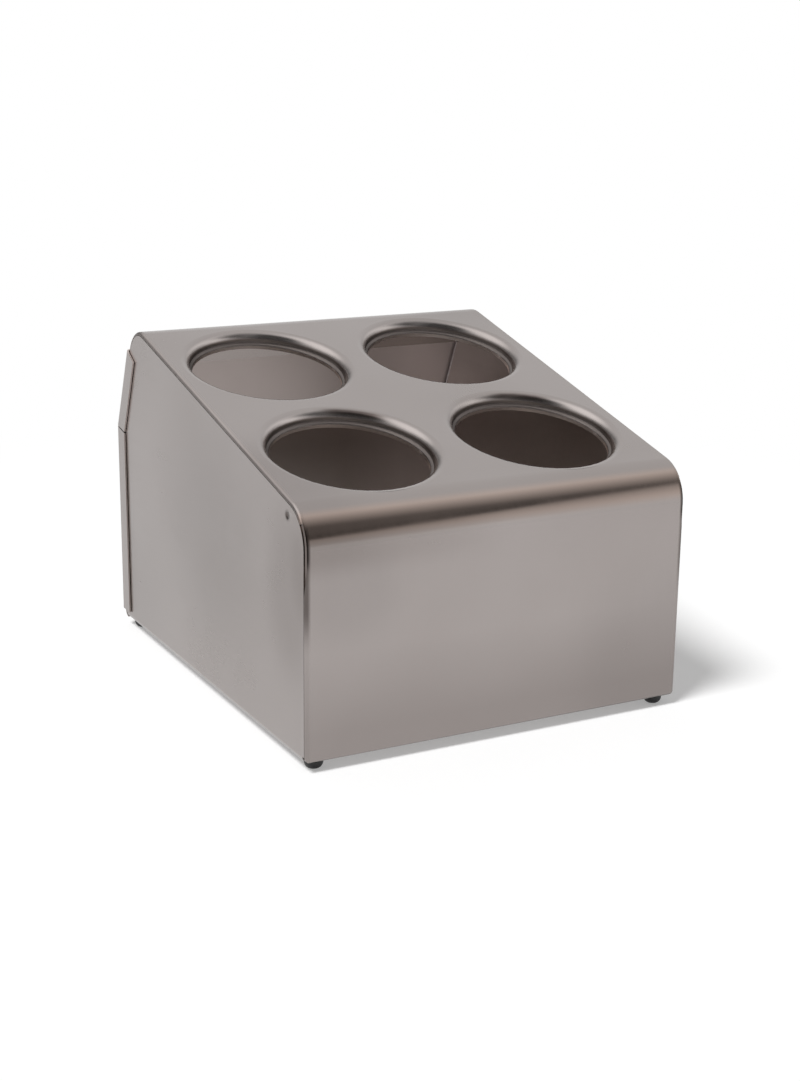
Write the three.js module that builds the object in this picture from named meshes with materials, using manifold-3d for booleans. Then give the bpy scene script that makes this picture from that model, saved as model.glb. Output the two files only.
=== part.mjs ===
// A free-standing countertop holder for four cutlery cylinders, folded from stainless sheet.
// Lengths are in millimetres, +Z is up and the front faces -Y.
// The origin is on the floor, under the middle of the bounding box.
// The folded panels are worked out in a body frame: its front face is y = 0 and its underside is z = 0.

import * as THREE from 'three';
import { mergeVertices } from 'three/addons/utils/BufferGeometryUtils.js';
import Module from 'manifold-3d';

// Sheet and seams
const SHEET = 1;
const SEAM = 0.3;
const LAP = SHEET + SEAM;

// Outer shape of the housing
const BODY_WIDTH = 250;
const BODY_DEPTH = 297;
const FRONT_HEIGHT = 142;
const SLOPE_ANGLE = THREE.MathUtils.degToRad(14);
const CHAMFER_ANGLE = THREE.MathUtils.degToRad(22.9);
const FOLD_HEIGHT = 135;
const FRONT_BEND_RADIUS = 25;
const REAR_BEND_RADIUS = 22;
const HALF_WIDTH = BODY_WIDTH / 2;

// Turned-in rims of the top and front panel, and the stepped flanges behind the side panels
const RIM_RADIUS = 2;
const FLANGE_DEPTH = 13;
const FLANGE_STEP_DEPTH = 2.1;
const FLANGE_GRIP = 0.3;
const FLANGE_GRIP_OUTER = 0.5;
const FLANGE_GRIP_INNER = 0.9;
const FLANGE_INNER_GRIP = 0.8;
const FLANGE_STEP_INNER_DEPTH = 1.6;
const FRONT_FLANGE_LOW = 12;
const FRONT_FLANGE_HIGH = 96;
const TAIL_LENGTH = 14;

// Relief where the front's rim meets the large bend. It widens upwards from nothing.
const RELIEF_LOW = 97;
const RELIEF_FULL = 112;
const RELIEF_TAPER = 3.5;
const RELIEF_ANGLE = THREE.MathUtils.degToRad(30);
const RELIEF_REACH = 4;
const RELIEF_DEPTH = 3.5;

// Return flanges along the underside
const FRONT_LOWER_RADIUS = 3;
const SIDE_LOWER_RADIUS = 3.5;
const REAR_LOWER_RADIUS = 5;
const LOWER_FLANGE = 18;
const LOWER_FLANGE_GAP = 0.5;
const LOWER_CORNER_RADIUS = 4;

// Side panels
const PLATE_INSET = 2.4;
const PLATE_FRONT_RADIUS = 22.6;
const PLATE_REAR_RADIUS = 19.6;
const PLATE_OVERLAP = 0.8;
const PLATE_LOWER_START = 4.6;
const WELD_RADIUS = 2.7;
const WELD_DEPTH = 0.7;
const WELD_Y = 23;
const WELD_Z = 138;

// Rear cover
const COVER_START = 1.6;
const COVER_RIM = 2;
const COVER_FLANGE = 13.5;
const COVER_OVERLAP = 0.8;
const COVER_LOW_END = 6;
const COVER_FOLD_RADIUS = 2;
const COVER_END_ANGLE = THREE.MathUtils.degToRad(30);
const MITRE_GAP = 0.8;

// Four drawn holes. The rim steps down once, so that a cylinder's collar can rest in it.
const HOLE_PITCH_X = 124;
const HOLE_FRONT_S = 73.8;
const HOLE_REAR_S = 195.6;
const HOLE_RADIUS = 49.4;
const LIP_BEND = 6;
const LIP_WALL = 0.3;
const LIP_FILLET = 0.6;
const LIP_STEP_BEND = 1.3;
const LIP_DEPTH = 10.2;
const LIP_OVERLAP = 0.6;
const LIP_CUT_MARGIN = 0.3;

// Feet and their fasteners
const FOOT_CLEARANCE = 6;
const FOOT_RADIUS = 5.7;
const FOOT_FLAT_RADIUS = 2.4;
const FOOT_SHOULDER_HEIGHT = 4.5;
const FOOT_TOP_ROUNDING = 0.4;
const FOOT_POCKET_FLOOR = 1.6;
const FOOT_POCKET_DEPTH = 2.1;
const FOOT_SIDE_OFFSET = 9.2;
const FOOT_FRONT_OFFSET = 9.6;
const FOOT_REAR_OFFSET = 11;
const SCREW_RADIUS = 2;
const SCREW_CLEARANCE = 0.3;
const SCREW_HEAD_RADIUS = 3.1;
const SCREW_HEAD_EDGE = 0.3;
const SCREW_THREAD_DEPTH = 0.3;
const SCREW_THREAD_STEP = 0.35;
const SCREW_TIP_CHAMFER = 0.5;
const SCREW_PROUD = 1.4;
const WASHER_RADIUS = 4.5;
const WASHER_THICKNESS = 0.8;
const NUT_FLATS = 7;
const NUT_HEIGHT = 3.2;

// How finely round surfaces are divided
const FRONT_BEND_STEPS = 12;
const RELIEF_STEPS = 6;
const REAR_BEND_STEPS = 10;
const SMALL_BEND_STEPS = 4;
const PLATE_BEND_STEPS = 10;
const HOLE_STEPS = 44;
const FOOT_STEPS = 18;
const SCREW_STEPS = 12;

// How far a cut runs past what it cuts
const CUT_REACH = 40;
const LOWER_CUT_REACH = 10;

const HALF_TURN = Math.PI;
const QUARTER_TURN = Math.PI / 2;
const EIGHTH_TURN = Math.PI / 4;

const wasm = await Module();
wasm.setup();

// Small helpers for points in a plane

function add(a, b, share = 1) {
  return [a[0] + b[0] * share, a[1] + b[1] * share];
}

function unit(a, b) {
  const size = Math.hypot(b[0] - a[0], b[1] - a[1]);
  return [(b[0] - a[0]) / size, (b[1] - a[1]) / size];
}

function leftOf(direction) {
  return [-direction[1], direction[0]];
}

function crossing(p, d, q, e) {
  const along = ((q[0] - p[0]) * e[1] - (q[1] - p[1]) * e[0]) / (d[0] * e[1] - d[1] * e[0]);
  return add(p, d, along);
}

// Turns clockwise corners into stations: a point of the outer face and the outward direction there.
function bentPath(corners, radii, steps) {
  const stations = [];
  corners.forEach((here, i) => {
    const before = corners[i - 1];
    const after = corners[i + 1];
    const arrive = before ? unit(before, here) : unit(here, after);
    const leave = after ? unit(here, after) : arrive;
    if (radii[i] === 0) {
      stations.push({ at: here, out: leftOf(leave) });
      return;
    }
    const turn = Math.acos(arrive[0] * leave[0] + arrive[1] * leave[1]);
    const reach = radii[i] * Math.tan(turn / 2);
    const out = leftOf(arrive);
    const start = add(here, arrive, -reach);
    const centre = add(start, out, -radii[i]);
    stations.push({ at: start, out });
    for (let k = 1; k < steps[i]; k += 1) {
      const angle = (turn * k) / steps[i];
      const facing = add([out[0] * Math.cos(angle), out[1] * Math.cos(angle)], arrive, Math.sin(angle));
      stations.push({ at: add(centre, facing, radii[i]), out: facing });
    }
    stations.push({ at: add(here, leave, reach), out: leftOf(leave) });
  });
  return stations;
}

// Solids

function signedVolume(positions, index) {
  let total = 0;
  const a = new THREE.Vector3();
  const b = new THREE.Vector3();
  const c = new THREE.Vector3();
  for (let i = 0; i < index.length; i += 3) {
    a.fromArray(positions, index[i] * 3);
    b.fromArray(positions, index[i + 1] * 3);
    c.fromArray(positions, index[i + 2] * 3);
    total += a.dot(b.cross(c));
  }
  return total / 6;
}

// Faces that point inwards, as after a mirroring, are turned to point out.
function solidOf(geometry) {
  const positions = Float32Array.from(geometry.attributes.position.array);
  const index = Uint32Array.from(geometry.index.array);
  if (signedVolume(positions, index) < 0) {
    for (let i = 0; i < index.length; i += 3) {
      [index[i + 1], index[i + 2]] = [index[i + 2], index[i + 1]];
    }
  }
  return new wasm.Manifold(new wasm.Mesh({ numProp: 3, vertProperties: positions, triVerts: index }));
}

function toSolid(geometry) {
  const bare = geometry.clone();
  bare.deleteAttribute('normal');
  bare.deleteAttribute('uv');
  return solidOf(mergeVertices(bare));
}

function toGeometry(solid) {
  const mesh = solid.getMesh();
  const geometry = new THREE.BufferGeometry();
  geometry.setAttribute('position', new THREE.BufferAttribute(Float32Array.from(mesh.vertProperties), 3));
  geometry.setIndex(new THREE.BufferAttribute(Uint32Array.from(mesh.triVerts), 1));
  return geometry;
}

// Joins rings of points into a closed skin. The last ring meets the first, or both ends are capped.
function skin(rings, closed, cap) {
  const count = rings[0].length;
  const positions = rings.flat(2);
  const index = [];
  const last = closed ? rings.length : rings.length - 1;
  for (let i = 0; i < last; i += 1) {
    const near = i * count;
    const far = ((i + 1) % rings.length) * count;
    for (let j = 0; j < count; j += 1) {
      const next = (j + 1) % count;
      index.push(near + j, near + next, far + next);
      index.push(near + j, far + next, far + j);
    }
  }
  if (!closed) {
    const end = (rings.length - 1) * count;
    const flat = cap.map(([u, v]) => new THREE.Vector2(u, v));
    for (const [a, b, c] of THREE.ShapeUtils.triangulateShape(flat, [])) {
      index.push(a, c, b);
      index.push(end + a, end + b, end + c);
    }
  }
  const geometry = new THREE.BufferGeometry();
  geometry.setAttribute('position', new THREE.BufferAttribute(Float32Array.from(positions), 3));
  geometry.setIndex(index);
  return toSolid(geometry);
}

// A section is a list of [x, depth below the outer face]. It is carried along the stations.
function sweep(section, stations) {
  const order = THREE.ShapeUtils.isClockWise(section.map(([u, v]) => new THREE.Vector2(u, v)))
    ? section.slice().reverse()
    : section;
  const rings = stations.map(({ at, out }) => order.map(([x, depth]) => {
    const point = add(at, out, -depth);
    return [x, point[0], point[1]];
  }));
  return skin(rings, false, order);
}

// A closed profile of [radius, height], turned round the Z axis.
function revolve(profile, steps) {
  const rings = [];
  for (let k = 0; k < steps; k += 1) {
    const angle = (2 * HALF_TURN * k) / steps;
    rings.push(profile.map(([r, z]) => [r * Math.cos(angle), r * Math.sin(angle), z]));
  }
  return skin(rings, true);
}

// An outline in the YZ plane, given thickness along X.
function plate(outline, lowX, highX) {
  const order = THREE.ShapeUtils.isClockWise(outline.map(([u, v]) => new THREE.Vector2(u, v)))
    ? outline.slice().reverse()
    : outline;
  const rings = [lowX, highX].map((x) => order.map(([y, z]) => [x, y, z]));
  return skin(rings, false, order);
}

function box(low, high) {
  const size = high.map((value, axis) => value - low[axis]);
  const middle = high.map((value, axis) => (value + low[axis]) / 2);
  return toSolid(new THREE.BoxGeometry(...size).translate(...middle));
}

// A round or many-sided rod along Z, around the given middle
function rod(radius, height, steps, middle) {
  const geometry = new THREE.CylinderGeometry(radius, radius, height, steps);
  return toSolid(geometry.rotateX(QUARTER_TURN).translate(...middle));
}

function moved(solid, matrix) {
  return solidOf(toGeometry(solid).applyMatrix4(matrix));
}

function mirrorX(solid) {
  return moved(solid, new THREE.Matrix4().makeScale(-1, 1, 1));
}

function bothSides(solid) {
  return solid.add(mirrorX(solid));
}

// A quarter of a rim, from the flat outwards: outer arc down, then the inner arc back up.
function rimQuarter(halfWidth, radius) {
  const centre = halfWidth - radius;
  const inner = radius - SHEET;
  const points = [];
  for (let k = 0; k <= SMALL_BEND_STEPS; k += 1) {
    const angle = (QUARTER_TURN * k) / SMALL_BEND_STEPS;
    points.push([centre + radius * Math.sin(angle), radius - radius * Math.cos(angle)]);
  }
  for (let k = SMALL_BEND_STEPS; k >= 0; k -= 2) {
    const angle = (QUARTER_TURN * k) / SMALL_BEND_STEPS;
    points.push([centre + inner * Math.sin(angle), radius - inner * Math.cos(angle)]);
  }
  return points;
}

// Lines of the side view in the body frame
const slopeAlong = [Math.cos(SLOPE_ANGLE), Math.sin(SLOPE_ANGLE)];
const slopeOut = leftOf(slopeAlong);
const chamferUp = [-Math.sin(CHAMFER_ANGLE), Math.cos(CHAMFER_ANGLE)];
const chamferOut = [Math.cos(CHAMFER_ANGLE), Math.sin(CHAMFER_ANGLE)];
const frontTop = [0, FRONT_HEIGHT];
const coverFold = [BODY_DEPTH, FOLD_HEIGHT];
const wrapFold = add(coverFold, chamferOut, -LAP);
const wrapRear = crossing(frontTop, slopeAlong, wrapFold, chamferUp);
const rearTurn = QUARTER_TURN - CHAMFER_ANGLE + SLOPE_ANGLE;
const rearReach = REAR_BEND_RADIUS * Math.tan(rearTurn / 2);

// The slope frame has the outer face of the sloping top as its plane n = 0.
function toSlopeFrame(point) {
  const y = point[0];
  const z = point[1] - FRONT_HEIGHT;
  return [y * slopeAlong[0] + z * slopeAlong[1], -y * slopeAlong[1] + z * slopeAlong[0]];
}

function fromSlopeFrame(solid) {
  return moved(solid, new THREE.Matrix4().makeRotationX(SLOPE_ANGLE).setPosition(0, 0, FRONT_HEIGHT));
}

const slopeLength = toSlopeFrame(wrapRear)[0];
const slopeEnd = [slopeLength, 0];

// Drawn rim of one hole: a bend, a short wall, a small ledge and a second bend down to the throat.
function lipProfile() {
  const bendCentre = [HOLE_RADIUS + LIP_BEND, -LIP_BEND];
  const ledgeX = HOLE_RADIUS - LIP_FILLET;
  const filletZ = -LIP_BEND - LIP_WALL;
  const stepZ = filletZ - LIP_FILLET - LIP_STEP_BEND;
  const throat = ledgeX - LIP_STEP_BEND;
  const points = [[bendCentre[0] + LIP_OVERLAP, 0]];
  const around = (centre, radius, from, to, steps) => {
    for (let k = 0; k <= steps; k += 1) {
      const angle = from + ((to - from) * k) / steps;
      points.push([centre[0] + radius * Math.cos(angle), centre[1] + radius * Math.sin(angle)]);
    }
  };
  points.push([bendCentre[0], 0]);
  for (let k = 1; k <= SMALL_BEND_STEPS + 1; k += 1) {
    const angle = (QUARTER_TURN * k) / (SMALL_BEND_STEPS + 1);
    points.push([bendCentre[0] - LIP_BEND * Math.sin(angle), LIP_BEND * Math.cos(angle) - LIP_BEND]);
  }
  around([ledgeX, filletZ], LIP_FILLET, 0, -QUARTER_TURN, 2);
  around([ledgeX, stepZ], LIP_STEP_BEND, QUARTER_TURN + EIGHTH_TURN, HALF_TURN, 2);
  points.push([throat, -LIP_DEPTH]);
  points.push([throat + SHEET, -LIP_DEPTH]);
  around([ledgeX, stepZ], LIP_STEP_BEND - SHEET, HALF_TURN, QUARTER_TURN, 1);
  around([ledgeX, filletZ], LIP_FILLET + SHEET, -EIGHTH_TURN, 0, 1);
  for (let k = 2; k >= 1; k -= 1) {
    const angle = (QUARTER_TURN * k) / 2;
    const inner = LIP_BEND - SHEET;
    points.push([bendCentre[0] - inner * Math.sin(angle), inner * Math.cos(angle) - LIP_BEND]);
  }
  points.push([bendCentre[0], -SHEET]);
  points.push([bendCentre[0] + LIP_OVERLAP, -SHEET]);
  return points;
}

const holeCentres = [];
for (const along of [HOLE_FRONT_S, HOLE_REAR_S]) {
  for (const side of [-1, 1]) {
    holeCentres.push([(side * HOLE_PITCH_X) / 2, along, 0]);
  }
}

// Stepped flange that goes behind a side panel, on the positive side
function steppedFlange() {
  return [
    [HALF_WIDTH - FLANGE_GRIP_OUTER, RIM_RADIUS - FLANGE_GRIP],
    [HALF_WIDTH - LAP, FLANGE_STEP_DEPTH],
    [HALF_WIDTH - LAP, FLANGE_DEPTH],
    [HALF_WIDTH - LAP - SHEET, FLANGE_DEPTH],
    [HALF_WIDTH - LAP - SHEET, FLANGE_STEP_INNER_DEPTH],
    [HALF_WIDTH - FLANGE_GRIP_INNER, RIM_RADIUS - FLANGE_INNER_GRIP],
  ];
}

// Takes the outer part of the front's rim away, from a fine point up into the large bend
function rimRelief() {
  const middle = HALF_WIDTH - RIM_RADIUS;
  const edge = [
    middle + RELIEF_REACH * Math.sin(RELIEF_ANGLE),
    RIM_RADIUS - RELIEF_REACH * Math.cos(RELIEF_ANGLE),
  ];
  const section = [
    [middle, RIM_RADIUS],
    edge,
    [middle + RELIEF_REACH, edge[1]],
    [middle + RELIEF_REACH, RELIEF_DEPTH],
    [middle, RELIEF_DEPTH],
  ];
  const slopePoint = add(frontTop, slopeAlong, CUT_REACH);
  const bend = bentPath([[0, 0], frontTop, slopePoint], [0, FRONT_BEND_RADIUS, 0], [0, FRONT_BEND_STEPS, 0]);
  return sweep(section, [
    { at: [RELIEF_TAPER, RELIEF_LOW], out: [-1, 0] },
    { at: [0, RELIEF_FULL], out: [-1, 0] },
    ...bend.slice(1, RELIEF_STEPS + 2),
  ]);
}

// One sheet: lower return flange, front, large bend, sloping top with four drawn holes, rear bend, tail.
function topFrontPanel() {
  const tailEnd = add(wrapRear, chamferUp, -(rearReach + TAIL_LENGTH));
  const corners = [
    toSlopeFrame([LOWER_FLANGE, 0]),
    toSlopeFrame([0, 0]),
    [0, 0],
    slopeEnd,
    toSlopeFrame(tailEnd),
  ];
  const radii = [0, FRONT_LOWER_RADIUS, FRONT_BEND_RADIUS, REAR_BEND_RADIUS, 0];
  const steps = [0, SMALL_BEND_STEPS, FRONT_BEND_STEPS, REAR_BEND_STEPS, 0];
  const stations = bentPath(corners, radii, steps);
  const rim = rimQuarter(HALF_WIDTH, RIM_RADIUS);
  const section = rim.concat(rim.slice().reverse().map(([x, depth]) => [-x, depth]));
  let solid = sweep(section, stations);

  const frontOut = leftOf(unit(toSlopeFrame([0, 0]), [0, 0]));
  const frontFlange = sweep(steppedFlange(), [FRONT_FLANGE_LOW, FRONT_FLANGE_HIGH].map((z) => (
    { at: toSlopeFrame([0, z]), out: frontOut }
  )));
  const frontTurn = QUARTER_TURN - SLOPE_ANGLE;
  const frontReach = FRONT_BEND_RADIUS * Math.tan(frontTurn / 2);
  const slopeFlange = sweep(steppedFlange(), [frontReach, slopeLength - rearReach].map((s) => (
    { at: [s, 0], out: [0, 1] }
  )));
  solid = solid.add(bothSides(frontFlange)).add(bothSides(slopeFlange));

  const cutRadius = HOLE_RADIUS + LIP_BEND + LIP_CUT_MARGIN;
  const lip = revolve(lipProfile(), HOLE_STEPS);
  for (const centre of holeCentres) {
    const placedLip = moved(lip, new THREE.Matrix4().makeTranslation(...centre));
    solid = solid.subtract(rod(cutRadius, CUT_REACH, HOLE_STEPS, centre)).add(placedLip);
  }
  solid = fromSlopeFrame(solid);

  const flangeLimit = HALF_WIDTH - LOWER_FLANGE - LOWER_FLANGE_GAP;
  const flangeCut = box(
    [flangeLimit, FRONT_LOWER_RADIUS + SEAM, -CUT_REACH],
    [HALF_WIDTH + CUT_REACH, CUT_REACH, FRONT_LOWER_RADIUS * 2],
  );
  const cornerX = HALF_WIDTH - LOWER_CORNER_RADIUS;
  const cornerBlock = box(
    [cornerX, -CUT_REACH, -CUT_REACH],
    [HALF_WIDTH + CUT_REACH, CUT_REACH, LOWER_CORNER_RADIUS],
  );
  const cornerRound = new THREE.CylinderGeometry(
    LOWER_CORNER_RADIUS,
    LOWER_CORNER_RADIUS,
    2 * CUT_REACH + SHEET,
    HOLE_STEPS,
  ).translate(cornerX, 0, LOWER_CORNER_RADIUS);
  const cornerCut = cornerBlock.subtract(toSolid(cornerRound));
  return solid
    .subtract(bothSides(flangeCut))
    .subtract(bothSides(cornerCut))
    .subtract(bothSides(rimRelief()));
}

function footCentres() {
  const x = HALF_WIDTH - FOOT_SIDE_OFFSET;
  const front = FOOT_FRONT_OFFSET;
  const rear = BODY_DEPTH - FOOT_REAR_OFFSET;
  return [
    ['front_left', -x, front],
    ['front_right', x, front],
    ['rear_left', -x, rear],
    ['rear_right', x, rear],
  ];
}

// Flat panel on the positive side, with its lower return flange, screw holes and weld dimple
function sidePanel() {
  const rearInset = PLATE_INSET + LAP;
  const frontLow = [PLATE_INSET, SIDE_LOWER_RADIUS];
  const slopePoint = add(frontTop, slopeOut, -PLATE_INSET);
  const frontHigh = crossing(frontLow, [0, 1], slopePoint, slopeAlong);
  const chamferPoint = add(coverFold, chamferOut, -rearInset);
  const rearHigh = crossing(slopePoint, slopeAlong, chamferPoint, chamferUp);
  const rearLow = [BODY_DEPTH - rearInset, SIDE_LOWER_RADIUS];
  const rearFold = crossing(rearLow, [0, 1], chamferPoint, chamferUp);
  const corners = [frontLow, frontHigh, rearHigh, rearFold, rearLow];
  const radii = [0, PLATE_FRONT_RADIUS, PLATE_REAR_RADIUS, 0, 0];
  const steps = [0, PLATE_BEND_STEPS, PLATE_BEND_STEPS, 0, 0];
  const outline = bentPath(corners, radii, steps).map(({ at }) => at);
  let solid = plate(outline, HALF_WIDTH - SHEET, HALF_WIDTH);

  const inner = HALF_WIDTH - SIDE_LOWER_RADIUS;
  const section = [[HALF_WIDTH, SIDE_LOWER_RADIUS + PLATE_OVERLAP]];
  for (let k = 0; k <= SMALL_BEND_STEPS; k += 1) {
    const angle = (QUARTER_TURN * k) / SMALL_BEND_STEPS;
    section.push([
      inner + SIDE_LOWER_RADIUS * Math.cos(angle),
      SIDE_LOWER_RADIUS - SIDE_LOWER_RADIUS * Math.sin(angle),
    ]);
  }
  section.push([HALF_WIDTH - LOWER_FLANGE, 0]);
  section.push([HALF_WIDTH - LOWER_FLANGE, SHEET]);
  for (let k = SMALL_BEND_STEPS; k >= 0; k -= 1) {
    const angle = (QUARTER_TURN * k) / SMALL_BEND_STEPS;
    const radius = SIDE_LOWER_RADIUS - SHEET;
    section.push([inner + radius * Math.cos(angle), SIDE_LOWER_RADIUS - radius * Math.sin(angle)]);
  }
  section.push([HALF_WIDTH - SHEET, SIDE_LOWER_RADIUS + PLATE_OVERLAP]);
  const lowerEnd = BODY_DEPTH - REAR_LOWER_RADIUS - 2 * SEAM;
  const order = THREE.ShapeUtils.isClockWise(section.map(([u, v]) => new THREE.Vector2(u, v)))
    ? section.slice().reverse()
    : section;
  const rings = [PLATE_LOWER_START, lowerEnd].map((y) => order.map(([x, z]) => [x, y, z]));
  solid = solid.add(skin(rings, false, order));

  for (const [, x, y] of footCentres()) {
    if (x > 0) {
      solid = solid.subtract(rod(SCREW_RADIUS + SCREW_CLEARANCE, LOWER_CUT_REACH, SCREW_STEPS, [x, y, 0]));
    }
  }

  const dish = [[0, -WELD_DEPTH]];
  for (let k = 1; k <= SMALL_BEND_STEPS; k += 1) {
    const share = k / SMALL_BEND_STEPS;
    dish.push([WELD_RADIUS * share, -WELD_DEPTH * (1 - share * share)]);
  }
  dish.push([WELD_RADIUS, SHEET]);
  dish.push([0, SHEET]);
  const dimple = new THREE.LatheGeometry(dish.map(([r, h]) => new THREE.Vector2(r, h)), SCREW_STEPS);
  dimple.rotateZ(-QUARTER_TURN);
  dimple.translate(HALF_WIDTH, WELD_Y, WELD_Z);
  return solid.subtract(toSolid(dimple));
}

// Upright back and the slanting panel above it, with flanges that lap over the side panels
function rearPanel() {
  const halfWidth = HALF_WIDTH + LAP;
  const alongStart = (wrapRear[1] - wrapFold[1]) / chamferUp[1] - rearReach - COVER_START;
  const top = add(coverFold, chamferUp, alongStart);
  const corners = [top, coverFold, [BODY_DEPTH, 0], [BODY_DEPTH - LOWER_FLANGE, 0]];
  const radii = [0, COVER_FOLD_RADIUS, REAR_LOWER_RADIUS, 0];
  const steps = [0, 2, SMALL_BEND_STEPS, 0];
  const flat = halfWidth - COVER_RIM;
  const strip = [[-flat, 0], [flat, 0], [flat, SHEET], [-flat, SHEET]];
  let solid = sweep(strip, bentPath(corners, radii, steps));

  const section = [[flat - COVER_OVERLAP, 0]]
    .concat(rimQuarter(halfWidth, COVER_RIM).slice(0, SMALL_BEND_STEPS + 1))
    .concat([[halfWidth, COVER_FLANGE], [halfWidth - SHEET, COVER_FLANGE]])
    .concat(rimQuarter(halfWidth, COVER_RIM).slice(SMALL_BEND_STEPS + 1))
    .concat([[flat - COVER_OVERLAP, SHEET]]);
  const half = CHAMFER_ANGLE / 2;
  const mitreUp = [0, -Math.sin(half), Math.cos(half)];
  const mitreDown = mitreUp.map((value) => -value);
  const foldOffset = coverFold[0] * mitreUp[1] + coverFold[1] * mitreUp[2];
  const endDown = [0, Math.sin(COVER_END_ANGLE), -Math.cos(COVER_END_ANGLE)];
  const endOffset = top[0] * endDown[1] + top[1] * endDown[2];
  const upper = sweep(section, [
    { at: top, out: chamferOut },
    { at: add(coverFold, chamferUp, -LOWER_CUT_REACH), out: chamferOut },
  ])
    .trimByPlane(mitreUp, foldOffset + MITRE_GAP / 2)
    .trimByPlane(endDown, endOffset);
  const lower = sweep(section, [
    { at: [BODY_DEPTH, FOLD_HEIGHT + LOWER_CUT_REACH], out: [1, 0] },
    { at: [BODY_DEPTH, COVER_LOW_END], out: [1, 0] },
  ]).trimByPlane(mitreDown, -foldOffset + MITRE_GAP / 2);
  solid = solid.add(bothSides(upper)).add(bothSides(lower));

  const flangeLimit = HALF_WIDTH - LOWER_FLANGE - LOWER_FLANGE_GAP;
  const flangeCut = box(
    [flangeLimit, BODY_DEPTH - CUT_REACH, -CUT_REACH],
    [HALF_WIDTH + CUT_REACH, BODY_DEPTH - REAR_LOWER_RADIUS, REAR_LOWER_RADIUS],
  );
  return solid.subtract(bothSides(flangeCut));
}

// Turned pieces. Heights are above the floor.

function lathe(profile, steps) {
  return new THREE.LatheGeometry(profile.map(([r, z]) => new THREE.Vector2(r, z)), steps)
    .rotateX(QUARTER_TURN);
}

// Rubber dome round the screw's head, which sits in a pocket that opens through the bore
function footGeometry() {
  const top = FOOT_CLEARANCE - SEAM;
  const bore = SCREW_RADIUS + SCREW_CLEARANCE;
  const pocket = SCREW_HEAD_RADIUS + SCREW_CLEARANCE;
  const ceiling = FOOT_POCKET_FLOOR + FOOT_POCKET_DEPTH;
  const profile = [
    [0, FOOT_POCKET_FLOOR],
    [pocket, FOOT_POCKET_FLOOR],
    [pocket, ceiling],
    [bore, ceiling],
    [bore, top],
    [FOOT_RADIUS - FOOT_TOP_ROUNDING, top],
    [FOOT_RADIUS, top - FOOT_TOP_ROUNDING],
  ];
  for (let k = 0; k <= SMALL_BEND_STEPS + 1; k += 1) {
    const angle = (QUARTER_TURN * k) / (SMALL_BEND_STEPS + 1);
    profile.push([
      FOOT_FLAT_RADIUS + (FOOT_RADIUS - FOOT_FLAT_RADIUS) * Math.cos(angle),
      FOOT_SHOULDER_HEIGHT * (1 - Math.sin(angle)),
    ]);
  }
  profile.push([0, 0]);
  return toGeometry(toSolid(lathe(profile, FOOT_STEPS)));
}

const washerLow = FOOT_CLEARANCE + SHEET + SEAM;
const nutLow = washerLow + WASHER_THICKNESS + SEAM;
const nutHigh = nutLow + NUT_HEIGHT;

function screwGeometry() {
  const low = FOOT_POCKET_FLOOR + SEAM;
  const seat = FOOT_POCKET_FLOOR + FOOT_POCKET_DEPTH - SEAM;
  const root = SCREW_RADIUS - SCREW_THREAD_DEPTH;
  const tip = nutHigh + SCREW_PROUD;
  const profile = [
    [0, low],
    [SCREW_HEAD_RADIUS - SCREW_HEAD_EDGE, low],
    [SCREW_HEAD_RADIUS, low + SCREW_HEAD_EDGE],
    [SCREW_HEAD_RADIUS, seat],
    [SCREW_RADIUS, seat],
    [SCREW_RADIUS, nutHigh],
    [root, nutHigh + SCREW_THREAD_STEP],
    [SCREW_RADIUS, nutHigh + 2 * SCREW_THREAD_STEP],
    [SCREW_RADIUS, tip - SCREW_TIP_CHAMFER],
    [SCREW_RADIUS - SCREW_TIP_CHAMFER, tip],
    [0, tip],
  ];
  return toGeometry(toSolid(lathe(profile, SCREW_STEPS)));
}

function washerGeometry() {
  const bore = SCREW_RADIUS + SCREW_CLEARANCE;
  return toGeometry(toSolid(lathe([
    [bore, washerLow],
    [WASHER_RADIUS, washerLow],
    [WASHER_RADIUS, washerLow + WASHER_THICKNESS],
    [bore, washerLow + WASHER_THICKNESS],
    [bore, washerLow],
  ], SCREW_STEPS)));
}

function nutGeometry() {
  const bore = SCREW_RADIUS + SCREW_CLEARANCE;
  const sides = 6;
  const across = NUT_FLATS / 2 / Math.cos(HALF_TURN / sides);
  const middle = [0, 0, nutLow + NUT_HEIGHT / 2];
  const bored = rod(across, NUT_HEIGHT, sides, middle).subtract(rod(bore, CUT_REACH, SCREW_STEPS, middle));
  return toGeometry(bored);
}

const steel = new THREE.MeshStandardMaterial({
  name: 'brushed_stainless',
  color: new THREE.Color(0.62, 0.6, 0.57),
  roughness: 0.34,
  metalness: 1,
});
const hardware = new THREE.MeshStandardMaterial({
  name: 'plated_steel',
  color: new THREE.Color(0.7, 0.71, 0.72),
  roughness: 0.3,
  metalness: 1,
});
const rubber = new THREE.MeshStandardMaterial({
  name: 'black_rubber',
  color: new THREE.Color(0.02, 0.02, 0.022),
  roughness: 0.7,
  metalness: 0,
});

const holder = new THREE.Group();
holder.name = 'cutlery_holder';

function place(name, geometry, material, offset) {
  const mesh = new THREE.Mesh(geometry, material.clone());
  mesh.name = name;
  mesh.position.set(...offset);
  holder.add(mesh);
}

const bodyOffset = [0, -BODY_DEPTH / 2, FOOT_CLEARANCE];
const rightPanel = sidePanel();
place('top_front_panel', toGeometry(topFrontPanel()), steel, bodyOffset);
place('side_panel_left', toGeometry(mirrorX(rightPanel)), steel, bodyOffset);
place('side_panel_right', toGeometry(rightPanel), steel, bodyOffset);
place('rear_panel', toGeometry(rearPanel()), steel, bodyOffset);

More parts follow.
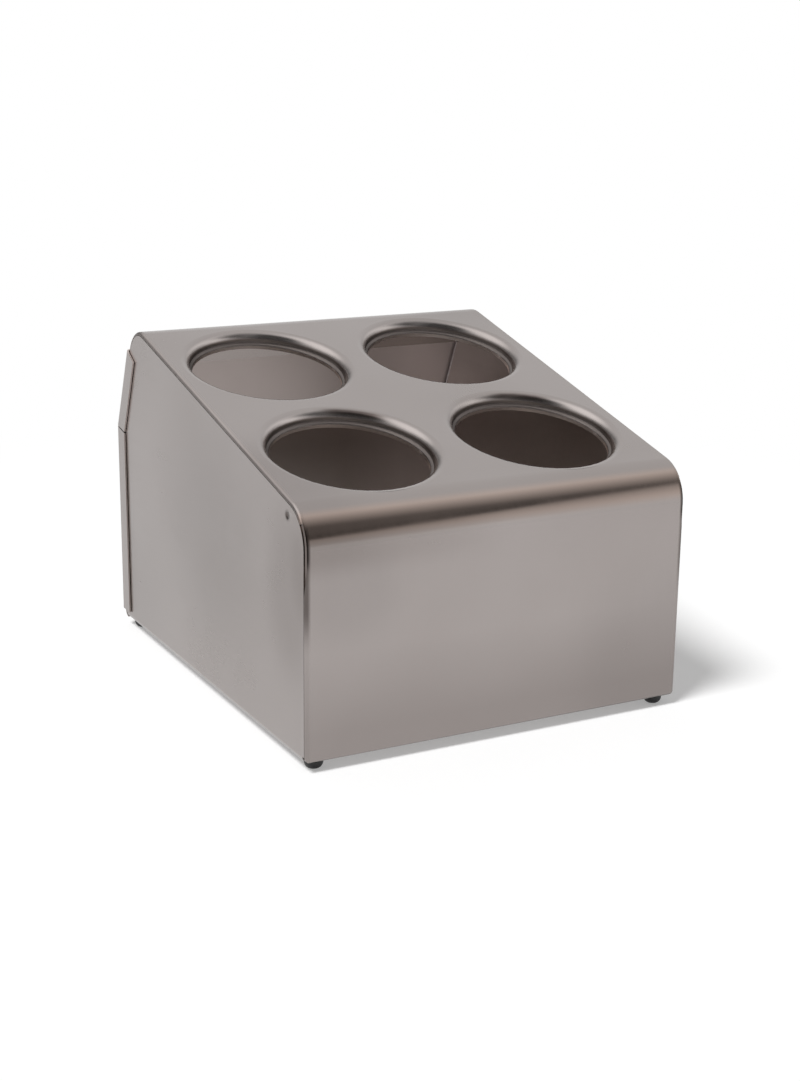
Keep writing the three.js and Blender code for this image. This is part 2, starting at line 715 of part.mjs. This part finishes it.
const foot = footGeometry();
const screw = screwGeometry();
const washer = washerGeometry();
const nut = nutGeometry();
for (const [corner, x, y] of footCentres()) {
  const offset = [x, y - BODY_DEPTH / 2, 0];
  place(`foot_${corner}`, foot, rubber, offset);
  place(`foot_screw_${corner}`, screw, hardware, offset);
  place(`foot_washer_${corner}`, washer, hardware, offset);
  place(`foot_nut_${corner}`, nut, hardware, offset);
}

export default holder;
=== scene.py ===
"""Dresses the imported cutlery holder: brushed stainless sheet, rubber feet, plated fasteners, studio light."""
import math

import bpy
from mathutils import Matrix

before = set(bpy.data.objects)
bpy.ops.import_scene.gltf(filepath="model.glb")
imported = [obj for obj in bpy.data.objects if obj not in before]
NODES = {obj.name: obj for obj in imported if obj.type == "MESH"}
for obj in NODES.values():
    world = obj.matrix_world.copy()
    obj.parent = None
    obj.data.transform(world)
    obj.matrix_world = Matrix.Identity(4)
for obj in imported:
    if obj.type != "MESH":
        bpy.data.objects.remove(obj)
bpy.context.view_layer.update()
scene = bpy.context.scene

# Places on the housing. The holes' places along the slope start where it and the front would meet.
MM = 0.001
FRONT_Y = -148.5 * MM
CORNER_Z = 148 * MM
SLOPE = math.radians(14)
HOLE_SIDE = 62 * MM
HOLE_FRONT_S = 73.8 * MM
HOLE_REAR_S = 195.6 * MM
RIM_REACH = (54 * MM, 56 * MM)

# Camera, as found from the straight edges and the four holes of the photograph
CAMERA_PLACE = (-0.513441, -0.984514, 0.397633)
CAMERA_RIGHT = (0.883864, -0.467600, 0.011628)
CAMERA_UP = (0.117811, 0.246608, 0.961928)
CAMERA_BACK = (-0.452665, -0.848843, 0.273056)
CAMERA_LENS = 59.6631
CAMERA_SENSOR = 36.0
CAMERA_NEAR = 0.02
CAMERA_FAR = 60.0

# Brushed sheet
STEEL_BASE = (0.382, 0.346, 0.333)
# The side and rear panels take a darker copy of the same steel: painted shade
SIDE_PAINTED_SHADE = 0.86
SIDE_SHADED_BASE = tuple(c * SIDE_PAINTED_SHADE for c in STEEL_BASE)
SEED_SHIFT = (1.0, 0.7, 1.3)
COARSE_GRAIN = 0.22
CLOUD_SCALE = 9.0
SMUDGE_SCALE = 34.0
GRAIN_TONES = (0.99, 1.01)
CLOUD_TINT = (0.955, 0.95, 0.945)
GRAIN_ROUGH = (-0.009, 0.009)
CLOUD_ROUGH = (0.225, 0.265)
SMUDGE_ROUGH = (0.0, 0.03)
CLOUD_RANGE = (0.32, 0.68)
SMUDGE_RANGE = (0.52, 0.72)
STEEL_ANISOTROPY = 0.45
WAVE_BUMP = (0.5, 0.00012)
GRAIN_BUMP = (0.035, 0.00001)

# Plated fasteners
PLATED_TONES = ((0.55, 0.56, 0.57), (0.66, 0.65, 0.62))
PLATED_FINE = 900.0
PLATED_PATCH = 160.0
PLATED_PATCH_RANGE = (0.35, 0.65)
PLATED_ROUGH = (0.24, 0.42)
PLATED_BUMP = (0.3, 0.00002)

# Rubber feet
RUBBER_TONES = ((0.012, 0.012, 0.013), (0.045, 0.043, 0.040))
RUBBER_FINE = 1400.0
RUBBER_DUST = 240.0
RUBBER_DUST_MOST = 0.55
RUBBER_DUST_RANGE = (0.52, 0.75)
RUBBER_ROUGH = (0.42, 0.66)
RUBBER_BUMP = (0.35, 0.00004)

# The middle part of a noise, where most of its values lie
NOISE_RANGE = (0.3, 0.7)

# Meshes
SAME_POINT = 0.000002
SHARP_ANGLE = math.radians(35.0)


# Node helpers

def new_material(name):
    material = bpy.data.materials.new(name)
    material.use_nodes = True
    tree = material.node_tree
    tree.nodes.clear()
    return material, tree


def add(tree, kind, **properties):
    node = tree.nodes.new("ShaderNode" + kind)
    for key, value in properties.items():
        setattr(node, key, value)
    return node


def link(tree, a, b):
    tree.links.new(a, b)


def noise(tree, vector, scale, detail=3.0, roughness=0.55):
    node = add(tree, "TexNoise")
    node.inputs["Scale"].default_value = scale
    node.inputs["Detail"].default_value = detail
    node.inputs["Roughness"].default_value = roughness
    link(tree, vector, node.inputs["Vector"])
    return node.outputs["Fac"]


def mapped(tree, vector, socket, value):
    """The vector moved or stretched, as the named socket says."""
    node = add(tree, "Mapping")
    node.inputs[socket].default_value = value
    link(tree, vector, node.inputs["Vector"])
    return node.outputs["Vector"]


def ranged(tree, value, low, high, start, end, kind="LINEAR"):
    """Goes from low to high while the value goes from start to end."""
    node = add(tree, "MapRange", interpolation_type=kind)
    for key, number in (("From Min", start), ("From Max", end), ("To Min", low), ("To Max", high)):
        node.inputs[key].default_value = number
    link(tree, value, node.inputs["Value"])
    return node.outputs["Result"]


def math_node(tree, operation, a, b=None):
    node = add(tree, "Math", operation=operation)
    for socket, value in zip(node.inputs, (a, b)):
        if value is None:
            continue
        if isinstance(value, (int, float)):
            socket.default_value = value
        else:
            link(tree, value, socket)
    return node.outputs["Value"]


def times(tree, a, b):
    return math_node(tree, "MULTIPLY", a, b)


def vector_node(tree, operation, vector, constant=None):
    node = add(tree, "VectorMath", operation=operation)
    link(tree, vector, node.inputs[0])
    if constant is not None:
        node.inputs[1].default_value = constant
    return node.outputs["Value" if operation in ("DOT_PRODUCT", "LENGTH") else "Vector"]


def split(tree, vector):
    node = add(tree, "SeparateXYZ")
    link(tree, vector, node.inputs[0])
    return node.outputs


def mix_colour(tree, factor, a, b, blend="MIX"):
    node = add(tree, "Mix", data_type="RGBA", blend_type=blend)
    for socket, value in ((node.inputs[0], factor), (node.inputs[6], a), (node.inputs[7], b)):
        if isinstance(value, (int, float)):
            socket.default_value = value
        elif isinstance(value, tuple):
            socket.default_value = (*value, 1.0)
        else:
            link(tree, value, socket)
    return node.outputs[2]


def tinted(tree, colour, tint, place):
    """The colour, multiplied by the tint as far as place goes from nothing to one."""
    return mix_colour(tree, place, colour, mix_colour(tree, 1.0, colour, tint, "MULTIPLY"))


def mix_shader(tree, factor, first, second):
    node = add(tree, "MixShader")
    for socket, source in zip(node.inputs, (factor, first, second)):
        link(tree, source, socket)
    return node.outputs[0]


def glowing(tree, kind, strength):
    """An even white light, as an Emission or a Background node."""
    node = add(tree, kind)
    node.inputs["Color"].default_value = (1.0, 1.0, 1.0, 1.0)
    node.inputs["Strength"].default_value = strength
    return node.outputs[0]


def bump(tree, height, strength, distance, normal=None):
    node = add(tree, "Bump")
    node.inputs["Strength"].default_value = strength
    node.inputs["Distance"].default_value = distance
    link(tree, height, node.inputs["Height"])
    if normal is not None:
        link(tree, normal, node.inputs["Normal"])
    return node.outputs["Normal"]


def new_surface(name):
    """A material with one principled shader, and the object's own coordinates."""
    material, tree = new_material(name)
    shader = add(tree, "BsdfPrincipled")
    link(tree, shader.outputs["BSDF"], add(tree, "OutputMaterial").inputs["Surface"])
    return material, tree, shader.inputs, add(tree, "TexCoord").outputs["Object"]


# Materials

def brushed_steel(name, grain, across, base, seed, tints=(), duller=()):
    """Stainless sheet. grain gives the noise's scale along each axis, highest across the brushed lines, and
    across is the tangent of the anisotropic gloss. Each tint multiplies the colour under its mask, and each of
    duller adds roughness there."""
    material, tree, surface, coords = new_surface(name)
    at = mapped(tree, coords, "Location", tuple(seed * s for s in SEED_SHIFT))
    fine = noise(tree, mapped(tree, at, "Scale", grain), 1.0, 4.0, 0.7)
    coarse = noise(tree, mapped(tree, at, "Scale", tuple(g * COARSE_GRAIN for g in grain)), 1.0, 3.0, 0.6)
    cloud = noise(tree, at, CLOUD_SCALE, 2.0, 0.5)
    smudge = noise(tree, at, SMUDGE_SCALE, 4.0, 0.62)

    dark, light = (tuple(c * tone for c in base) for tone in GRAIN_TONES)
    colour = mix_colour(tree, ranged(tree, fine, 0.0, 1.0, *NOISE_RANGE), dark, light)
    colour = tinted(tree, colour, CLOUD_TINT, ranged(tree, cloud, 0.0, 1.0, *CLOUD_RANGE))
    for tint, mask in tints:
        colour = tinted(tree, colour, tint, mask(tree, coords))
    link(tree, colour, surface["Base Color"])

    rough = ranged(tree, coarse, *GRAIN_ROUGH, *NOISE_RANGE)
    rough = math_node(tree, "ADD", rough, ranged(tree, cloud, *CLOUD_ROUGH, *NOISE_RANGE))
    rough = math_node(tree, "ADD", rough, ranged(tree, smudge, *SMUDGE_ROUGH, *SMUDGE_RANGE))
    for amount, mask in duller:
        rough = math_node(tree, "ADD", rough, times(tree, mask(tree, coords), amount))
    link(tree, rough, surface["Roughness"])

    spread = add(tree, "CombineXYZ")
    for socket, value in zip(spread.inputs, across):
        socket.default_value = value
    link(tree, spread.outputs["Vector"], surface["Tangent"])
    surface["Metallic"].default_value = 1.0
    surface["Anisotropic"].default_value = STEEL_ANISOTROPY
    link(tree, bump(tree, fine, *GRAIN_BUMP, bump(tree, cloud, *WAVE_BUMP)), surface["Normal"])
    return material


def plated_steel(name):
    material, tree, surface, coords = new_surface(name)
    fine = noise(tree, coords, PLATED_FINE)
    patch = noise(tree, coords, PLATED_PATCH)
    patched = ranged(tree, patch, 0.0, 1.0, *PLATED_PATCH_RANGE)
    link(tree, mix_colour(tree, patched, *PLATED_TONES), surface["Base Color"])
    link(tree, ranged(tree, fine, *PLATED_ROUGH, *NOISE_RANGE), surface["Roughness"])
    surface["Metallic"].default_value = 1.0
    link(tree, bump(tree, fine, *PLATED_BUMP), surface["Normal"])
    return material


def black_rubber(name):
    material, tree, surface, coords = new_surface(name)
    fine = noise(tree, coords, RUBBER_FINE, 4.0)
    dust = noise(tree, coords, RUBBER_DUST, 4.0, 0.65)
    dusty = ranged(tree, dust, 0.0, RUBBER_DUST_MOST, *RUBBER_DUST_RANGE)
    link(tree, mix_colour(tree, dusty, *RUBBER_TONES), surface["Base Color"])
    link(tree, ranged(tree, fine, *RUBBER_ROUGH, *NOISE_RANGE), surface["Roughness"])
    link(tree, bump(tree, fine, *RUBBER_BUMP), surface["Normal"])
    return material


def set_material(node, material):
    node.data.materials.clear()
    node.data.materials.append(material)


def smooth(node):
    """Shares normals over bends and keeps the sheet's own edges crisp."""
    for polygon in node.data.polygons:
        polygon.use_smooth = True
    weld = node.modifiers.new("weld", "WELD")
    weld.merge_threshold = SAME_POINT
    crisp = node.modifiers.new("crisp_edges", "EDGE_SPLIT")
    crisp.use_edge_angle = True
    crisp.split_angle = SHARP_ANGLE
    weighted = node.modifiers.new("even_normals", "WEIGHTED_NORMAL")
    weighted.mode = "FACE_AREA"
    weighted.weight = 100
    weighted.keep_sharp = False


# Masks: each is a function that adds its nodes and gives a number from nothing to one

def along_axis(axis, start, end):
    """One at start and nothing at end, along an axis of the object."""
    def mask(tree, coords):
        return ranged(tree, split(tree, coords)[axis], 1.0, 0.0, start, end)
    return mask


def along_height(start, end):
    """Nothing at start and one at end, upwards."""
    def mask(tree, coords):
        return ranged(tree, split(tree, coords)["Z"], 0.0, 1.0, start, end)
    return mask


def along_edges(start, end):
    """Nothing at start and one at end, by the distance from the middle plane."""
    def mask(tree, coords):
        return ranged(tree, math_node(tree, "ABSOLUTE", split(tree, coords)["X"]), 0.0, 1.0, start, end)
    return mask


def around(point, inner, outer, squash=(1.0, 1.0, 1.0)):
    """One up to the inner distance from a point, and nothing from the outer one."""
    def mask(tree, coords):
        scaled = vector_node(tree, "MULTIPLY", vector_node(tree, "SUBTRACT", coords, point), squash)
        return ranged(tree, vector_node(tree, "LENGTH", scaled), 1.0, 0.0, inner, outer, "SMOOTHERSTEP")
    return mask


def facing(direction, start=0.15, end=0.35):
    """One where the sheet faces that way."""
    def mask(tree, coords):
        normal = add(tree, "NewGeometry").outputs["Normal"]
        return ranged(tree, vector_node(tree, "DOT_PRODUCT", normal, direction), 0.0, 1.0, start, end)
    return mask


def beside_holes(start, end):
    """Nothing at start and one at end, by the distance to the right of the nearest holes' middle."""
    def mask(tree, coords):
        x = split(tree, coords)["X"]
        middle = times(tree, math_node(tree, "SIGN", x), HOLE_SIDE)
        return ranged(tree, math_node(tree, "SUBTRACT", x, middle), 0.0, 1.0, start, end)
    return mask


def both(first, second):
    """The product of two masks."""
    def mask(tree, coords):
        return times(tree, first(tree, coords), second(tree, coords))
    return mask


def in_rims(rise, fall=None):
    """On the drawn rims of the four holes only, by the depth in mm under the slope: it goes up over rise, and
    down over fall."""
    def mask(tree, coords):
        moved = vector_node(tree, "SUBTRACT", coords, (0.0, FRONT_Y, CORNER_Z))
        depth = vector_node(tree, "DOT_PRODUCT", moved, (0.0, math.sin(SLOPE), -math.cos(SLOPE)))
        along = vector_node(tree, "DOT_PRODUCT", moved, (0.0, math.cos(SLOPE), math.sin(SLOPE)))
        aside = math_node(tree, "SUBTRACT", math_node(tree, "ABSOLUTE", split(tree, moved)["X"]), HOLE_SIDE)
        middle = (HOLE_FRONT_S + HOLE_REAR_S) / 2
        ahead = math_node(tree, "ABSOLUTE", math_node(tree, "SUBTRACT", along, middle))
        ahead = math_node(tree, "SUBTRACT", ahead, HOLE_REAR_S - middle)
        squares = (math_node(tree, "POWER", side, 2.0) for side in (aside, ahead))
        reach = math_node(tree, "SQRT", math_node(tree, "ADD", *squares))
        shade = times(tree, ranged(tree, reach, 1.0, 0.0, *RIM_REACH),
                      ranged(tree, depth, 0.0, 1.0, *(d * MM for d in rise)))
        if fall is not None:
            shade = times(tree, shade, ranged(tree, depth, 1.0, 0.0, *(d * MM for d in fall)))
        return shade
    return mask


# Tints that bring the sheet's tones near those of the photograph. All but the ring at the weld dimple are
# painted shade, painted reflections or painted highlights. They belong to places on the sheet, so they stay
# there in every view and under any light.

TO_REAR = facing((0.0, 1.0, 0.0))
TO_FRONT = facing((0.0, -1.0, 0.0))
TO_RIGHT = facing((1.0, 0.0, 0.0))
TO_LEFT = facing((-1.0, 0.0, 0.0))
ANY_X = (0, 1, 1)
# Painted light that lifts the sheet's inner faces
INSIDE_PAINTED_LIGHT = (1.36, 1.30, 1.25)
FRONT_RIM = both(along_edges(0.1216, 0.1236), along_axis("Y", -0.140, -0.136))
TAIL_INSIDE = both(TO_FRONT, along_axis("Y", 0.124, 0.114))
WRAP_PAINTED_LIGHT = (
    # Painted shade: the lowest part of the sheet darker, and the slope's front left corner
    ((0.80, 0.79, 0.785), along_axis("Z", 0.022, 0.070)),
    ((0.86, 0.85, 0.85), around((-0.12, -0.10, 0.15), 0.01, 0.07)),
    # Painted reflections on the front bend: its lower part darker, towards the left, and a warm light streak
    # on its upper part
    ((0.80, 0.785, 0.775), both(along_axis("X", -0.125, 0.0),
                                around((0.0, -0.1485, 0.131), 0.004, 0.024, ANY_X))),
    ((1.26, 1.12, 1.03), around((0.0, -0.146, 0.142), 0.005, 0.013, ANY_X)),
    # Painted shade and reflections on the holes' rims: the bend and ledge darker, the throat lighter, and the
    # throat's left end darker
    ((0.42, 0.39, 0.37), in_rims((3.0, 4.4), (5.0, 6.4))),
    ((0.50, 0.48, 0.47), in_rims((5.6, 6.6), (7.5, 8.3))),
    ((1.90, 1.85, 1.80), in_rims((7.7, 8.5))),
    ((0.40, 0.38, 0.37), both(beside_holes(-0.030, -0.044), in_rims((4.5, 6.0)))),
    # Painted shade in the side rims at the front, darkest at the bend, and painted light on the rims along the
    # slope
    ((0.16, 0.15, 0.15), both(FRONT_RIM, around((0.0, -0.1475, 0.131), 0.005, 0.016, ANY_X))),
    ((0.42, 0.40, 0.39), both(FRONT_RIM, around((0.0, -0.1475, 0.112), 0.012, 0.045, ANY_X))),
    ((1.12, 1.11, 1.10), both(along_edges(0.1224, 0.1236), along_height(0.150, 0.154))),
    # A painted highlight on the left part of the holes' rims, and two painted dark reflections at the back of
    # the front holes
    ((1.55, 1.55, 1.55), both(beside_holes(0.0, -0.016), in_rims((0.8, 2.0), (4.5, 5.5)))),
    ((0.36, 0.325, 0.315), both(around((-0.0380, -0.0308, 0.1766), 0.009, 0.028),
                                in_rims((0.10, 0.80), (2.0, 3.6)))),
    ((0.48, 0.44, 0.43), both(around((0.0800, -0.0300, 0.1762), 0.009, 0.026),
                              in_rims((0.30, 1.2), (2.6, 4.0)))),
    # Painted shade on the slope's rear right corner
    ((0.89, 0.89, 0.89), around((0.100, 0.120, 0.205), 0.0, 0.090)),
    # Painted light on the inner face of the tail, a little less of it towards the left
    ((1.46, 1.43, 1.41), TAIL_INSIDE),
    ((0.92, 0.92, 0.92), both(TAIL_INSIDE, along_axis("X", 0.030, 0.085))),
    # Painted shade on the front's lower right and upper left
    ((0.91, 0.91, 0.91), around((0.110, -0.1485, 0.035), 0.02, 0.09)),
    ((0.91, 0.91, 0.91), around((-0.100, -0.1485, 0.105), 0.01, 0.05)),
    # Painted light on the front's inner face
    (INSIDE_PAINTED_LIGHT, TO_REAR),
)
WRAP_DULLER = (
    (0.14, in_rims((2.6, 4.6))),
    (0.10, in_rims((5.4, 6.4))),
    (0.14, along_edges(0.1220, 0.1232)),
    (-0.10, both(along_axis("Y", -0.132, -0.118), facing((0.0, 0.0, 1.0), 0.05, 0.2))),
)
LEFT_PAINTED_LIGHT_AND_WELD_RING = (
    # Painted shade on the outer face: by the rear foot, in the middle, on the front part and at the front edge;
    # then a darker ring at the weld dimple
    ((0.91, 0.91, 0.91), around((-0.125, 0.130, 0.025), 0.0, 0.120)),
    ((0.82, 0.815, 0.81), around((-0.125, -0.010, 0.107), 0.0, 0.115)),
    ((0.84, 0.83, 0.825), around((-0.125, -0.128, 0.100), 0.01, 0.055, (1.0, 1.2, 0.75))),
    ((0.86, 0.85, 0.84), around((-0.125, -0.150, 0.118), 0.006, 0.030, (1.0, 1.0, 0.7))),
    ((0.42, 0.40, 0.39), around((-0.125, -0.1255, 0.144), 0.0014, 0.0044)),
    # Painted light on the inner face
    (INSIDE_PAINTED_LIGHT, TO_RIGHT),
)
RIGHT_PAINTED_LIGHT = (
    # Painted light on the inner face, and painted shade high up on it
    (INSIDE_PAINTED_LIGHT, TO_LEFT),
    ((0.72, 0.72, 0.72), both(TO_LEFT, along_height(0.142, 0.172))),
)
REAR_PAINTED_LIGHT = (
    # Painted light on the inner face, more of it high up and towards the right
    (INSIDE_PAINTED_LIGHT, TO_FRONT),
    ((1.32, 1.32, 1.35), both(TO_FRONT, along_height(0.112, 0.150))),
    ((1.42, 1.46, 1.52), both(TO_FRONT, along_axis("X", 0.090, 0.045))),
)
RIGHT_DULLER = ((0.12, TO_LEFT),)
REAR_DULLER = ((0.12, TO_FRONT),)

# How the panels are brushed: the noise's scale along each axis, highest across the lines, and the tangent
LINES_ACROSS_X = ((2600.0, 26.0, 26.0), (1.0, 0.0, 0.0))
LINES_ACROSS_Z = ((26.0, 26.0, 2600.0), (0.0, 0.0, 1.0))
PANELS = {
    "top_front_panel": ("steel_top_front", *LINES_ACROSS_X, STEEL_BASE, 0.3, WRAP_PAINTED_LIGHT, WRAP_DULLER),
    "side_panel_left": ("steel_side_left", *LINES_ACROSS_Z, SIDE_SHADED_BASE, 1.7, LEFT_PAINTED_LIGHT_AND_WELD_RING),
    "side_panel_right": ("steel_side_right", *LINES_ACROSS_Z, SIDE_SHADED_BASE, 2.9, RIGHT_PAINTED_LIGHT, RIGHT_DULLER),
    "rear_panel": ("steel_rear", *LINES_ACROSS_X, SIDE_SHADED_BASE, 4.1, REAR_PAINTED_LIGHT, REAR_DULLER),
}
for node_name, settings in PANELS.items():
    set_material(NODES[node_name], brushed_steel(*settings))
plated = plated_steel("plated_fasteners")
rubber = black_rubber("foot_rubber")
for node_name, node in NODES.items():
    if node_name.startswith(("foot_screw", "foot_washer", "foot_nut")):
        set_material(node, plated)
    elif node_name.startswith("foot_"):
        set_material(node, rubber)
    smooth(node)


# Floor: a plane that keeps the object's shadow near it and is plain white farther out. Under the housing, gloss
# sees an even grey instead of the shadow.

FLOOR_SIZE = 8.0
FLOOR_ALBEDO = (0.74, 0.74, 0.74)
FLOOR_LIFT = 0.30
FLOOR_WHITE = 1.0
INNER_LEVEL = 0.56
INNER_X = (0.118, 0.122)
INNER_Y = (0.141, 0.145)
SHADOW_RANGE = (0.42, 0.75)


def make_floor():
    half = FLOOR_SIZE / 2
    mesh = bpy.data.meshes.new("floor")
    corners = [(-half, -half, 0), (half, -half, 0), (half, half, 0), (-half, half, 0)]
    mesh.from_pydata(corners, [], [(0, 1, 2, 3)])
    floor = bpy.data.objects.new("floor", mesh)
    scene.collection.objects.link(floor)
    material, tree = new_material("floor")
    matt = add(tree, "BsdfDiffuse")
    matt.inputs["Color"].default_value = (*FLOOR_ALBEDO, 1.0)
    lit = add(tree, "AddShader")
    link(tree, matt.outputs[0], lit.inputs[0])
    link(tree, glowing(tree, "Emission", FLOOR_LIFT), lit.inputs[1])
    white = glowing(tree, "Emission", FLOOR_WHITE)
    coords = add(tree, "TexCoord").outputs["Object"]
    far = ranged(tree, vector_node(tree, "LENGTH", coords), 0.0, 1.0, *SHADOW_RANGE, "SMOOTHSTEP")
    shown = mix_shader(tree, far, lit.outputs[0], white)

    path = add(tree, "LightPath").outputs
    place = split(tree, coords)
    under = times(tree, *(ranged(tree, math_node(tree, "ABSOLUTE", place[axis]), 1.0, 0.0, *limits)
                          for axis, limits in (("X", INNER_X), ("Y", INNER_Y))))
    inner = glowing(tree, "Emission", INNER_LEVEL)
    mirrored = mix_shader(tree, times(tree, under, path["Is Glossy Ray"]), shown, inner)
    seen = math_node(tree, "MAXIMUM", path["Is Camera Ray"], path["Is Glossy Ray"])
    seen = math_node(tree, "MAXIMUM", seen, path["Is Transmission Ray"])
    final = mix_shader(tree, seen, matt.outputs[0], mirrored)
    link(tree, final, add(tree, "OutputMaterial").inputs["Surface"])
    mesh.materials.append(material)


make_floor()


# World: white to the camera and an even soft light on matt surfaces. Gloss sees a studio of its own instead:
# pale, with dark and grey stretches and one soft lamp, set to bring the sheet's bands near the photograph's.
# Except for the levels, each pair of numbers is a range of X, Y, Z or a mix of them, over which a stretch
# starts or ends.

AMBIENT = 0.22
WHITE_LEVEL = 1.0
STUDIO_LEVEL = 0.88

# The dark stretch in front. It starts above a plane that leans towards the right, and gets lighter upwards.
DARK_LEVELS = (0.05, 0.16)
DARK_RISE = (-0.26, -0.12)
DARK_START = (-0.355, -0.315)
DARK_LEAN = 1.4
DARK_LEAST_X = 0.40
DARK_Y = (-0.62, -0.17)
DARK_X = (0.10, 0.38)
DARK_LEFT_SHARE = 0.45

# A dark upright screen at the front left, in the direction of the camera
SCREEN_TOWARDS = (-0.44, -0.90)
SCREEN_EDGE = (0.74, 0.90)
SCREEN_Z = (0.84, 0.95)
SCREEN_LEVEL = 0.10
LEAST_FLAT = 0.0001

# The stretch under the dark one, from grey to nearly white
LOW_LEVELS = (0.46, 0.98)
LOW_REACH = (-0.335, -0.85)
LOW_Y = (-0.45, 0.0)

# Grey stretches low at the rear left and low at the right
BEHIND_LEVEL = 0.26
BEHIND_Z = (0.38, 0.66)
BEHIND_X = (0.10, 0.34)
BEHIND_Y = (0.15, 0.40)
RIGHT_LEVEL = 0.42
RIGHT_Z = (0.16, 0.44)
RIGHT_X = (0.50, 0.72)

# The soft lamp, high at the left
LAMP_TOWARDS = (-0.50, 0.18, 0.85)
LAMP_EDGE = (0.80, 0.975)
LAMP_LEVEL = 0.75


def grey(level):
    return (level,) * 3


def make_world():
    world = bpy.data.worlds.new("studio")
    scene.world = world
    world.use_nodes = True
    tree = world.node_tree
    tree.nodes.clear()
    coords = add(tree, "TexCoord").outputs["Generated"]
    x, y, height = split(tree, coords)

    lean = times(tree, math_node(tree, "MAXIMUM", x, DARK_LEAST_X), DARK_LEAN)
    leaning = math_node(tree, "SUBTRACT", height, lean)
    above = ranged(tree, leaning, 0.0, 1.0, *DARK_START)
    front = times(tree, ranged(tree, y, 1.0, 0.0, *DARK_Y), ranged(tree, x, DARK_LEFT_SHARE, 1.0, *DARK_X))
    dark_grey = ranged(tree, leaning, *DARK_LEVELS, *DARK_RISE)

    flat = math_node(tree, "SUBTRACT", 1.0, math_node(tree, "POWER", height, 2.0))
    flat = math_node(tree, "SQRT", math_node(tree, "MAXIMUM", flat, LEAST_FLAT))
    aim = math_node(tree, "ADD", *(times(tree, part, share) for part, share in zip((x, y), SCREEN_TOWARDS)))
    screen = times(tree, ranged(tree, math_node(tree, "DIVIDE", aim, flat), 0.0, 1.0, *SCREEN_EDGE),
                   ranged(tree, height, 1.0, 0.0, *SCREEN_Z))

    low_grey = ranged(tree, leaning, *LOW_LEVELS, *LOW_REACH)
    low = times(tree, math_node(tree, "SUBTRACT", 1.0, above), ranged(tree, y, 1.0, 0.0, *LOW_Y))
    behind = times(tree, ranged(tree, x, 1.0, 0.0, *BEHIND_X), ranged(tree, y, 0.0, 1.0, *BEHIND_Y))
    behind = times(tree, behind, ranged(tree, height, 1.0, 0.0, *BEHIND_Z))
    right = times(tree, ranged(tree, x, 0.0, 1.0, *RIGHT_X), ranged(tree, height, 1.0, 0.0, *RIGHT_Z))

    shade = mix_colour(tree, behind, grey(STUDIO_LEVEL), grey(BEHIND_LEVEL))
    shade = mix_colour(tree, right, shade, grey(RIGHT_LEVEL))
    shade = mix_colour(tree, low, shade, low_grey)
    shade = mix_colour(tree, times(tree, above, front), shade, dark_grey)
    shade = mix_colour(tree, screen, shade, grey(SCREEN_LEVEL))
    glow = ranged(tree, vector_node(tree, "DOT_PRODUCT", coords, LAMP_TOWARDS), 0.0, LAMP_LEVEL, *LAMP_EDGE)
    gloss = add(tree, "Background")
    link(tree, mix_colour(tree, 1.0, shade, glow, "ADD"), gloss.inputs["Color"])

    path = add(tree, "LightPath").outputs
    shiny = math_node(tree, "MAXIMUM", path["Is Glossy Ray"], path["Is Transmission Ray"])
    unseen = mix_shader(tree, shiny, glowing(tree, "Background", AMBIENT), gloss.outputs[0])
    final = mix_shader(tree, path["Is Camera Ray"], unseen, glowing(tree, "Background", WHITE_LEVEL))
    link(tree, final, add(tree, "OutputWorld").inputs["Surface"])


make_world()


# Key light from high at the left. Gloss sees the soft lamp of the world instead.

KEY_TOWARDS = (-0.479, -0.150, 0.857)
KEY_STRENGTH = 2.75
KEY_SPREAD = math.radians(18.0)
KEY_HEIGHT = 1.0


def place_with_axes(item, right, up, back, place):
    """Gives an object its three axes and its place, each written as a column."""
    rows = [tuple(column[i] for column in (right, up, back, place)) for i in range(3)]
    item.matrix_world = Matrix((*rows, (0.0, 0.0, 0.0, 1.0)))


def make_sun():
    data = bpy.data.lights.new("key", "SUN")
    data.energy = KEY_STRENGTH
    data.angle = KEY_SPREAD
    lamp = bpy.data.objects.new("key", data)
    scene.collection.objects.link(lamp)
    lamp.visible_glossy = False
    size = math.sqrt(sum(c * c for c in KEY_TOWARDS))
    back = tuple(c / size for c in KEY_TOWARDS)
    side_size = math.sqrt(back[0] ** 2 + back[1] ** 2)
    side = (-back[1] / side_size, back[0] / side_size, 0.0)
    up = (back[1] * side[2] - back[2] * side[1],
          back[2] * side[0] - back[0] * side[2],
          back[0] * side[1] - back[1] * side[0])
    place_with_axes(lamp, side, up, back, (0.0, 0.0, KEY_HEIGHT))


make_sun()


# Camera

def make_camera():
    data = bpy.data.cameras.new("camera")
    data.sensor_width = CAMERA_SENSOR
    data.lens = CAMERA_LENS
    data.clip_start = CAMERA_NEAR
    data.clip_end = CAMERA_FAR
    camera = bpy.data.objects.new("camera", data)
    scene.collection.objects.link(camera)
    place_with_axes(camera, CAMERA_RIGHT, CAMERA_UP, CAMERA_BACK, CAMERA_PLACE)
    scene.camera = camera


make_camera()

scene.view_settings.view_transform = "Standard"
